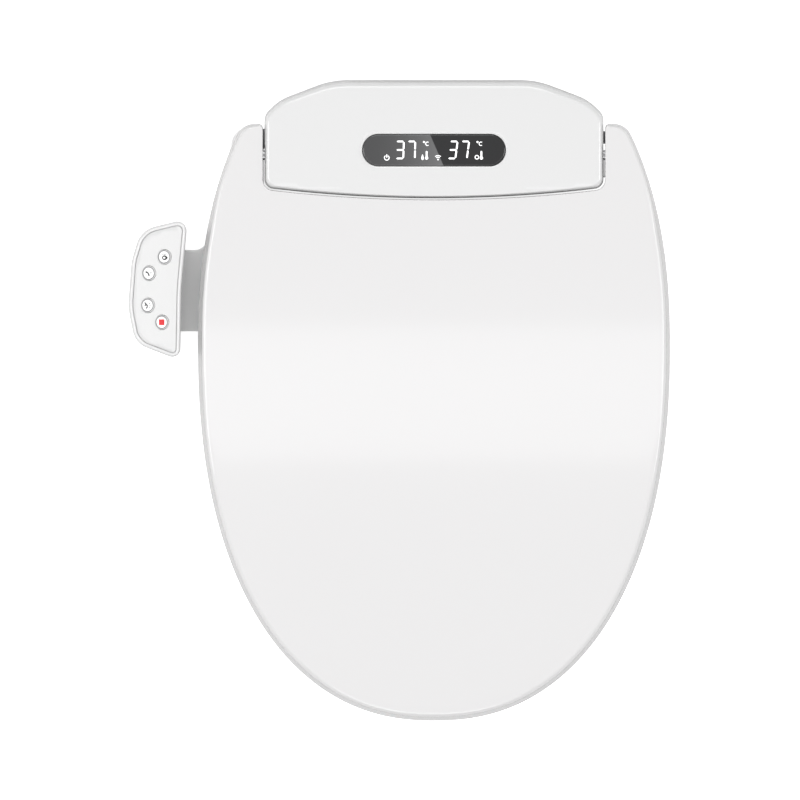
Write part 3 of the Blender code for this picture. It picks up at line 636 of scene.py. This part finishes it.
def rodCutter(start, end, radius):
    along = Vector(end) - Vector(start)
    work = bmesh.new()
    bmesh.ops.create_cone(work, cap_ends=True, segments=48, radius1=radius, radius2=radius,
                          depth=along.length)
    turned = along.to_track_quat("Z", "Y").to_matrix().to_4x4()
    turned.translation = (Vector(start) + Vector(end)) / 2
    work.transform(turned)
    return cutterObject(work)


def cutterObject(work):
    bmesh.ops.recalc_face_normals(work, faces=work.faces)
    mesh = bpy.data.meshes.new("cutter")
    work.to_mesh(mesh)
    work.free()
    cutter = bpy.data.objects.new("cutter", mesh)
    bpy.context.scene.collection.objects.link(cutter)
    return cutter


def drill(obj, cutters):
    # Cuts holes and keeps the result, so no modifier or cutter is left.
    for cutter in cutters:
        modifier = obj.modifiers.new("hole", "BOOLEAN")
        modifier.object = cutter
    depsgraph = bpy.context.evaluated_depsgraph_get()
    mesh = bpy.data.meshes.new_from_object(obj.evaluated_get(depsgraph))
    obj.modifiers.clear()
    obj.data = mesh
    mesh.set_sharp_from_angle(angle=math.radians(40))
    for cutter in cutters:
        bpy.data.objects.remove(cutter, do_unlink=True)


def makeTray():
    # Tray under the cover, with a rounded foot, 0.3 mm short of the cover's edge.
    split, low, wall = housing["split"] - 0.0003, housing["bottom"], housing["wall"]
    outer = [housingRing(split), housingRing(split - 0.0005)]
    outer += [housingRing(low + 0.0022 * (1 - math.sin(t)), wall=0.0022 * (1 - math.cos(t)))
              for t in np.linspace(0, math.pi / 2, 7)]
    inner = [housingRing(split, wall=wall), housingRing(low + wall, wall=wall)]
    skin = Skin()
    skin.rings(outer[::-1] + inner)
    skin.sheet(outer[-1], level(low), 0.02)
    skin.sheet(inner[-1], level(low + wall), 0.02)
    skin.piece("housing_tray", "root", "white_satin", finish["satinWhite"], stands=["base_case"])


makeCover()
makeTray()
print("housing made")


# The display: a smoked lens with lit signs laid on it.
lensLow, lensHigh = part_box("display_lens")


def lensPaint():
    # Smoked acrylic: a slanting band of painted reflection, a paler base colour, crosses its left half, over
    # fine dust.
    paint = Paint("Smoked display lens", (0.05, 0.05, 0.052), 0.10)
    paint.fixed(IOR=1.49, Coat_Weight=0.2, Coat_Roughness=0.03)
    split = paint.node("ShaderNodeSeparateXYZ", {}, [paint.place])
    across = Wire(paint, split.socket.node.outputs["X"])
    along = Wire(paint, split.socket.node.outputs["Y"])
    # the painted reflection's edge runs from 3 mm left of the middle at the rear to 8 mm right at the front
    edge = across + (along - lens["centreY"]) * 0.43 - 0.0022
    # mask of the painted reflection band, left of its edge
    paintedSheen = (0.5 - edge * 1400.0).clamped()
    reach = (across - lensLow.x) * (1 / -lensLow.x)
    # strength of the painted reflection, lighter towards the lens's middle
    pale = paintedSheen * (0.36 + reach * reach * 0.58)
    dust = paint.noise(1400.0, 2.0)
    # base colour: dark smoke lightened by the painted reflection, with fine dust
    reflectionAndDust = paint.mixed((pale * 0.94 + dust * 0.06).clamped(), (0.016, 0.016, 0.017), (0.165, 0.165, 0.168))
    paint.feed("Base Color", reflectionAndDust)
    paint.feed("Roughness", 0.08 + dust * 0.05)
    paint.bump(dust, 0.1, 0.00001)
    return paint.material


def litSign():
    # White light behind a print: an even glow with a slight falloff between the lamps.
    paint = Paint("Lit display sign", (0.80, 0.80, 0.80), 0.4)
    paint.fixed(Emission_Strength=0.85)
    glow = paint.noise(260.0, 2.0)
    paint.feed("Emission Color", paint.mixed(glow, (0.86, 0.88, 0.90), (1.0, 1.0, 1.0)))
    paint.feed("Roughness", 0.35 + glow * 0.1)
    return paint.material


def makeLens():
    # Pill with a rounded rim and a very slight crown.
    top = lensHigh.z
    radius = 0.0012
    rings = [pillLoop(lens["gap"], lensLow.z), pillLoop(lens["gap"], top - radius)]
    rings += [pillLoop(lens["gap"] + a, top - 0.00012 - b)
              for a, b in edgeRoll(radius, radius - 0.00012, 8, 2.0)]

    def crown(x, y):
        half = lens["width"] / 2 - lens["gap"] - radius
        return top - 0.00012 * np.clip(np.abs(y - lens["centreY"]) / half, 0, 1) ** 2

    rings[-1][:, 2] = crown(rings[-1][:, 0], rings[-1][:, 1])
    skin = Skin()
    skin.rings(rings)
    skin.sheet(rings[0], level(lensLow.z), 0.006)
    skin.sheet(rings[-1], crown, 0.002)
    skin.piece("display_glass", "root", "display_black", lensPaint(), 50, ["display_lens"])


def prism(skin, outline, place, rise):
    # A flat sign: an outline set out by place() and raised by rise along its normal.
    outline = np.asarray(outline, float)
    low, high = place(outline, -rise * 0.5), place(outline, rise)
    skin.rings([low, high])
    count = len(outline)
    flat = delaunay_2d_cdt([Vector(p) for p in outline], [(i, (i + 1) % count) for i in range(count)],
                           [], 1, 1e-8)
    triangles = [tuple(face) for face in flat[2]]
    for layer in (low, high):
        skin.add(layer, triangles)


def band(skin, outer, inner, place, rise):
    # A printed ring between two outlines of equally many points.
    skin.rings([place(outer, -rise * 0.5), place(outer, rise), place(inner, rise),
                place(inner, -rise * 0.5)], closed=True)


def strip(start, end, width):
    # A bar with pointed ends, as in a seven-segment digit.
    start, end = np.array(start, float), np.array(end, float)
    along = (end - start) / np.linalg.norm(end - start)
    side = np.array([-along[1], along[0]]) * width / 2
    nib = along * width / 2
    return np.array([start, start + nib - side, end - nib - side, end, end - nib + side, start + nib + side])


def disc(x, y, radius, steps=20):
    turn = np.linspace(0, 2 * math.pi, steps, endpoint=False)
    return np.column_stack([x + radius * np.cos(turn), y + radius * np.sin(turn)])


def arcBand(x, y, radius, width, start, end, steps=24):
    # Part of a ring, between two angles in degrees.
    turn = np.radians(np.linspace(start, end, steps))
    outer = np.column_stack([np.cos(turn), np.sin(turn)]) * (radius + width / 2)
    inner = np.column_stack([np.cos(turn), np.sin(turn)])[::-1] * (radius - width / 2)
    return np.vstack([outer, inner]) + (x, y)


segments = {"a": ((0, 2), (1, 2)), "b": ((1, 2), (1, 1)), "c": ((1, 1), (1, 0)), "d": ((0, 0), (1, 0)),
            "e": ((0, 1), (0, 0)), "f": ((0, 2), (0, 1)), "g": ((0, 1), (1, 1))}
digitBars = {"3": "abcdg", "7": "abc"}
digits = {"width": 0.0058, "height": 0.0136, "bar": 0.00135, "rise": 0.00006, "baseY": -0.01075,
          "places": [("3", -0.03035, 0.0002), ("7", -0.02115, 0.0002), ("3", 0.0113, 0.0009),
                     ("7", 0.0205, 0.0009)]}


def makeSigns():
    # Two temperatures, each with a thermometer or drop, and the power and air signs.
    skin = Skin()

    def lay(outline, lift):
        return atHeight(outline, lensHigh.z + lift)

    def sign(outline):
        prism(skin, outline, lay, digits["rise"])

    for digit, x, lean in digits["places"]:
        for name in digitBars[digit]:
            ends = [(x + u * digits["width"] + lean * v, digits["baseY"] + v * digits["height"] / 2)
                    for u, v in segments[name]]
            start, end = np.array(ends)
            gap = (end - start) / np.linalg.norm(end - start) * 0.0002
            sign(strip(start + gap, end - gap, digits["bar"]))
    for x in (-0.0086, 0.0342):
        sign(disc(x + 0.0006, 0.0024, 0.00085))
        sign(arcBand(x + 0.0033, 0.0010, 0.0014, 0.0006, 50, 310))
    # thermometers, each a bulb and a stem
    for x in (-0.0059, 0.0379):
        sign(disc(x, -0.0104, 0.0013))
        sign(roundedLoop([(x - 0.0007, -0.0094, 0), (x + 0.0007, -0.0094, 0), (x + 0.0007, -0.0048, 0.0006),
                          (x - 0.0007, -0.0048, 0.0006)], 6))
    # a drop for the water and a ring for the seat
    turn = np.linspace(0, 2 * math.pi, 40, endpoint=False)
    drop = np.column_stack([0.0013 * np.sin(turn) * np.sin(turn / 2) ** 1.3, 0.0024 * np.cos(turn)])
    sign(drop + (-0.0092, -0.0096))
    band(skin, disc(0.0343, -0.0098, 0.0018, 32), disc(0.0343, -0.0098, 0.0011, 32), lay, digits["rise"])
    # power sign
    sign(arcBand(-0.0378, -0.0102, 0.0019, 0.00065, 125, 415, 32))
    sign(strip((-0.0378, -0.0102), (-0.0378, -0.0074), 0.0010))
    # moving air: three nested arcs over a dot
    sign(disc(0.0032, -0.0116, 0.00065))
    for radius in (0.0019, 0.0032):
        sign(arcBand(0.0032, -0.0116, radius, 0.0006, 45, 135))
    skin.piece("display_signs", "root", "white_satin", litSign(), 30)


makeLens()
makeSigns()
print("display made")


# The side panel: a rimmed case, a tilted faceplate and four keys.
slope = math.radians(24)
panel = {
    "corners": [(-0.1970, -0.0588, 0.0075), (-0.2345, -0.0680, 0.020), (-0.2420, -0.0930, 0.040),
                (-0.2448, -0.1300, 0.060), (-0.2390, -0.1587, 0.018), (-0.2031, -0.1724, 0.0065),
                (-0.2021, -0.1150, 0.200)],
    "innerX": -0.200, "topZ": 0.052, "rim": 0.0033, "gap": 0.0003,
    "plateSunk": 0.0012, "plateFoot": 0.0031, "chamfer": 0.00015,
}
keys = {"key_seat": (-0.2155, -0.0895), "key_bidet": (-0.2279, -0.1026),
        "key_spray": (-0.2288, -0.1283), "key_stop": (-0.2175, -0.1418)}
keyShape = {"radius": 0.0058, "top": 0.0010, "foot": -0.0040, "edge": 0.0005, "dish": 0.00015,
            "dishRadius": 0.0053, "ringRadius": 0.0050, "ringWidth": 0.00095, "signRise": 0.00005}


def panelPlace(inset):
    outline = evenLoop(roundedLoop(panel["corners"], 16), 0.0011)
    return outline - loopNormals(outline, 2) * inset


def panelHeight(x, below=0.0):
    return panel["topZ"] + (x - panel["innerX"]) * math.tan(slope) - below


def panelRing(inset, below):
    place = panelPlace(inset)
    return atHeight(place, panelHeight(place[:, 0], below))


def flatRing(inset, z):
    return atHeight(panelPlace(inset), z)


def makePanelCase():
    # the rim is a round-topped bead that falls to the faceplate's seat
    rim = panel["rim"]
    bead = [panelRing(0.0019 - 0.0019 * math.cos(t), 0.0030 - 0.0030 * math.sin(t))
            for t in np.linspace(0.0, math.pi / 2, 9)]
    bead += [panelRing(0.0019 + (rim - 0.0019) * math.sin(t), 0.0010 - 0.0010 * math.cos(t))
             for t in np.linspace(0.25, math.pi / 2, 6)]
    ledge = rim + 0.0016
    rings = [flatRing(0.0008, 0.0135), flatRing(0.0006, 0.0138), flatRing(0.0, 0.020), *bead,
             panelRing(rim, 0.0035), panelRing(ledge, 0.0035), panelRing(ledge, 0.0055),
             flatRing(0.0026, 0.0135)]
    skin = Skin()
    skin.rings(rings, closed=True)
    skin.piece("panel_rim", "root", "white_gloss", finish["panelWhite"], stands=["panel_upper_case"])


def keyPlace(centre, flat, rise):
    # Points laid out on a key: x across the slope, y along the panel, rise along its normal.
    flat = np.asarray(flat, float)
    x, y = centre
    z = panelHeight(x, panel["plateSunk"])
    rise = np.broadcast_to(rise, len(flat))
    return np.column_stack([x + flat[:, 0] * math.cos(slope) - rise * math.sin(slope), y + flat[:, 1],
                            z + flat[:, 0] * math.sin(slope) + rise * math.cos(slope)])


def makeFaceplate():
    # Plate with four chamfered key holes.
    inset, chamfer = panel["rim"] + panel["gap"], panel["chamfer"]
    top, foot = panel["plateSunk"], panel["plateFoot"]
    outer = [panelRing(inset, foot), panelRing(inset, top + chamfer), panelRing(inset + chamfer, top)]

    def hole(centre, radius, below):
        # the hole runs along the keys' normal, so its ring moves across as it goes down
        turn = np.linspace(0, 2 * math.pi, 48, endpoint=False)
        x = centre[0] + (below - panel["plateSunk"]) * math.sin(slope) * math.cos(slope)
        place = np.column_stack([x + radius * np.cos(turn) * math.cos(slope),
                                 centre[1] + radius * np.sin(turn)])
        return atHeight(place, panelHeight(place[:, 0], below))

    radius = keyShape["radius"] + panel["gap"]
    tops = [hole(centre, radius + chamfer, top) for centre in keys.values()]
    middles = [hole(centre, radius, top + chamfer) for centre in keys.values()]
    feet = [hole(centre, radius, foot) for centre in keys.values()]
    skin = Skin()
    skin.rings(outer)
    for rings in zip(tops, middles, feet):
        skin.rings(rings)
    skin.sheet(outer[-1], lambda x, y: panelHeight(x, top), 0.004, tops)
    skin.sheet(outer[0], lambda x, y: panelHeight(x, foot), 0.006, feet)
    skin.piece("faceplate", "root", "white_satin", finish["plateWhite"], stands=["panel_faceplate"])


def makeKeys():
    # Slightly dished caps, each with a printed ring and its sign.
    shape = keyShape
    for name, centre in keys.items():
        profile = [(shape["radius"], shape["foot"]), (shape["radius"], shape["top"] - shape["edge"])]
        profile += [(shape["radius"] - a, shape["top"] - b)
                    for a, b in edgeRoll(shape["edge"], shape["edge"], 6, 2.0)]
        profile += [(shape["radius"] * k, keyDip(shape["radius"] * k))
                    for k in (0.85, 0.65, 0.45, 0.25, 0.08)]
        rings = [keyPlace(centre, disc(0, 0, radius, 48), rise) for radius, rise in profile]
        cap = Skin()
        cap.rings(rings)
        for ring in (rings[0], rings[-1]):
            cap.add(ring, [tuple(range(len(ring)))])
        slot = "key_red" if name == "key_stop" else "white_gloss"
        cap.piece(name + "_cap", name, slot, finish["capWhite"], stands=[name])

        def lay(flat, lift):
            flat = np.asarray(flat, float)
            return keyPlace(centre, flat, keyDip(np.linalg.norm(flat, axis=1)) + lift)

        ring = Skin()
        half = shape["ringWidth"] / 2
        band(ring, disc(0, 0, shape["ringRadius"] + half, 64), disc(0, 0, shape["ringRadius"] - half, 64),
             lay, shape["signRise"])
        ring.piece(name + "_ring", name, "grey_plastic", finish["keyRing"])
        mark = Skin()
        keySigns[name](mark, lay)
        red = name == "key_stop"
        mark.piece(name + "_sign", name, "key_red" if red else "dark_plastic",
                   finish["keyRed" if red else "keyMark"], 30)


def keyDip(radius):
    # Height along the key's normal of its dished top.
    return keyShape["top"] - keyShape["dish"] * np.clip(1 - (radius / keyShape["dishRadius"]) ** 2, 0, 1)


# The signs read from the panel's outer side: x is down the sign and y is to its right.
def seatSign(skin, lay):
    # Seat seen from above, with three waves of warmth beside it.
    turn = np.linspace(0, 2 * math.pi, 48, endpoint=False)
    point = 1 + 0.28 * np.exp(-((turn - math.pi) / 0.45) ** 2)
    oval = np.column_stack([-np.cos(turn) * 0.0019 * point, np.sin(turn) * 0.0016])
    hole = np.column_stack([-np.cos(turn) * 0.00105, np.sin(turn) * 0.00085])
    band(skin, oval * 1.15 + (0.0003, -0.0007), hole + (0.0000, -0.0007), lay, keyShape["signRise"])
    for x in (-0.0012, 0.0001, 0.0014):
        prism(skin, wave((x, 0.0013), 0.0013), lay, keyShape["signRise"])


def washSign(skin, lay):
    # A seated figure, two bent strokes, over a short jet.
    for start, end in (((-0.0029, 0.0013), (-0.0003, 0.0002)), ((-0.0005, 0.0004), (0.0005, -0.0025))):
        prism(skin, strip(start, end, 0.0012), lay, keyShape["signRise"])
    for x, y in ((0.0012, 0.0008), (0.0021, 0.0011), (0.0017, 0.0001), (0.0027, 0.0004)):
        prism(skin, disc(x, y, 0.00028, 14), lay, keyShape["signRise"])


def spraySign(skin, lay):
    # A seated figure over a fan of jets.
    for start, end in (((-0.0027, 0.0024), (-0.0009, 0.0010)), ((-0.0009, 0.0010), (-0.0026, -0.0004)),
                       ((-0.0009, 0.0010), (0.0001, -0.0009)), ((0.0001, -0.0009), (-0.0014, -0.0026))):
        prism(skin, strip(start, end, 0.0010), lay, keyShape["signRise"])
    for start, end in (((0.0010, 0.0014), (0.0024, 0.0020)), ((0.0012, 0.0002), (0.0029, 0.0002)),
                       ((0.0010, -0.0010), (0.0024, -0.0016))):
        prism(skin, strip(start, end, 0.0004), lay, keyShape["signRise"])


def stopSign(skin, lay):
    half = 0.0023
    prism(skin, [(-half, -half), (half, -half), (half, half), (-half, half)], lay, keyShape["signRise"])


def wave(start, length):
    # A short S-shaped stroke that starts at a point and runs along y.
    along = np.linspace(0, 1, 12)
    middle = np.column_stack([start[0] + 0.00035 * np.sin(along * 2 * math.pi), start[1] + along * length])
    side = np.column_stack([np.full(12, 0.0002), np.zeros(12)])
    return np.vstack([middle + side, (middle - side)[::-1]])


keySigns = {"key_seat": seatSign, "key_bidet": washSign, "key_spray": spraySign, "key_stop": stopSign}


def makePanelTray():
    # Lower half of the case, with a slot that the arm enters.
    outer = [flatRing(0.0010, 0.0132), flatRing(0.0006, 0.0128), flatRing(0.0006, 0.0042)]
    outer += [flatRing(0.0006 + 0.0027 * (1 - math.cos(t)), 0.0042 - 0.0027 * math.sin(t))
              for t in np.linspace(0.2, math.pi / 2, 6)]
    inner = [flatRing(0.0030, 0.0132), flatRing(0.0038, 0.0037)]
    skin = Skin()
    skin.rings(outer[::-1] + inner)
    skin.sheet(outer[-1], level(0.0015), 0.012)
    skin.sheet(inner[-1], level(0.0037), 0.012)
    tray = skin.piece("panel_tray", "root", "grey_plastic", finish["armGreyPaintedLight"], stands=["panel_lower_case"])
    armSlot = boxCutter((-0.2100, -0.1495, 0.0), (-0.1950, -0.0835, 0.0120))
    drill(tray, [armSlot])


def makeArm():
    # Flat arm with softly rounded edges, from beside the housing out to the panel.
    corners = [(-0.1362, 0.014, 0.003), (-0.1600, 0.014, 0.014), (-0.1700, -0.040, 0.030),
               (-0.1840, -0.0840, 0.010), (-0.2080, -0.0840, 0.002), (-0.2080, -0.1490, 0.002),
               (-0.1720, -0.1490, 0.014), (-0.1500, -0.100, 0.040), (-0.1362, -0.050, 0.020)]
    outline = evenLoop(roundedLoop(corners, 12), 0.0012)
    normals = loopNormals(outline, 2)
    low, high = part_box("side_arm")
    edge = 0.0014

    def ring(inset, z):
        return atHeight(outline - normals * inset, z)

    rings = [ring(b, low.z + a) for a, b in edgeRoll(edge, edge, 6, 2.0)]
    rings += [ring(a, high.z - b) for a, b in edgeRoll(edge, edge, 6, 2.0)]
    skin = Skin()
    skin.rings(rings)
    skin.sheet(rings[0], level(low.z), 0.010)
    skin.sheet(rings[-1], level(high.z), 0.006)
    skin.piece("arm", "root", "grey_plastic", finish["armGreyPaintedLight"], stands=["side_arm"])


makePanelCase()
makeFaceplate()
makeKeys()
makePanelTray()
makeArm()
print("panel and arm made")


# Every piece that keeps its solid takes the finish of its material slot.
slotFinish = {"white_gloss": "coverWhite", "white_satin": "satinWhite", "grey_plastic": "armGreyPaintedLight",
              "dark_plastic": "darkGrey", "rubber_grey": "rubber", "steel": "steel",
              "board_green": "board", "heater_foil": "film"}
plain = [node for node in nodes.values() if not node.hide_render]
for node in plain:
    slotName = node.data.materials[0].name.split(".")[0]
    node.data.materials.clear()
    node.data.materials.append(finish[slotFinish[slotName]])
print("plain pieces painted:", len(plain))


# Floor, light and camera.
stageSetup = {"floorZ": -0.0015, "floor": 6.0, "viewWidth": 0.64, "camera": (-0.0272, -0.204, 2.0),
              "skyStrength": 0.59, "sky": [(0.0, 0.55), (0.97, 0.30), (0.30, 1.0), (0.86, 1.0)]}
lampTarget = (0, (lid["tipY"] + housingLow.y) / 2, 0.07)
# Each lamp's place, size and watts.
lamps = {"overhead": ((0.0, lampTarget[1], 0.95), (2.2, 0.12), 0.8),
         "front": ((-0.1, -1.7, 1.4), (1.2, 0.9), 7.0), "rear": ((-0.1, 1.3, 1.4), (1.2, 0.9), 8.0),
         "left": ((-1.6, -0.2, 1.2), (0.8, 1.2), 10.0), "right": ((1.6, -0.2, 1.2), (0.8, 1.2), 8.5)}


def makeFloor():
    # Wide, pale, matt ground, just under the seat.
    mesh = bpy.data.meshes.new("floor")
    half = stageSetup["floor"] / 2
    corners = [(-half, -half), (half, -half), (half, half), (-half, half)]
    mesh.from_pydata([(x, y, stageSetup["floorZ"]) for x, y in corners], [], [(0, 1, 2, 3)])
    floor = bpy.data.objects.new("floor", mesh)
    bpy.context.scene.collection.objects.link(floor)
    paint = Paint("Studio floor", (0.72, 0.72, 0.72), 0.75)
    # seen directly it is lit from behind, as a white light table is
    paint.fixed(Emission_Strength=0.80)
    paint.feed("Emission Color", paint.node("ShaderNodeLightPath", {}, [], "Is Camera Ray"))
    paint.feed("Roughness", 0.70 + paint.noise(3.0) * 0.1)
    mesh.materials.append(paint.material)


def softbox(name, place, size, watts):
    # A rectangular lamp turned towards the middle of the lid.
    light = bpy.data.lights.new(name, "AREA")
    light.shape = "RECTANGLE"
    light.size, light.size_y = size
    light.energy = watts
    lamp = bpy.data.objects.new(name, light)
    lamp.location = place
    lamp.rotation_euler = (Vector(lampTarget) - Vector(place)).to_track_quat("-Z", "Y").to_euler()
    bpy.context.scene.collection.objects.link(lamp)


def makeLight():
    # Studio tent: dark straight above, bright all round, a little dimmer at the horizon.
    world = bpy.data.worlds.new("Studio")
    bpy.context.scene.world = world
    world.use_nodes = True
    tree = world.node_tree
    place = tree.nodes.new("ShaderNodeTexCoord")
    split = tree.nodes.new("ShaderNodeSeparateXYZ")
    ramp = tree.nodes.new("ShaderNodeValToRGB")
    tree.links.new(place.outputs["Generated"], split.inputs["Vector"])
    tree.links.new(split.outputs["Z"], ramp.inputs["Fac"])
    tree.links.new(ramp.outputs["Color"], tree.nodes["Background"].inputs["Color"])
    stops = ramp.color_ramp.elements
    for element, (height, tone) in zip([*stops, stops.new(0.30), stops.new(0.86)], stageSetup["sky"]):
        element.position = height
        element.color = (tone, tone, tone, 1)
    tree.nodes["Background"].inputs["Strength"].default_value = stageSetup["skyStrength"]
    for name, (spot, size, watts) in lamps.items():
        softbox(name, spot, size, watts)
    bpy.context.scene.view_settings.view_transform = "Standard"


def makeCamera():
    data = bpy.data.cameras.new("camera")
    data.type = "ORTHO"
    data.ortho_scale = stageSetup["viewWidth"]
    camera = bpy.data.objects.new("camera", data)
    camera.location = stageSetup["camera"]
    bpy.context.scene.collection.objects.link(camera)
    bpy.context.scene.camera = camera


makeFloor()
makeLight()
makeCamera()
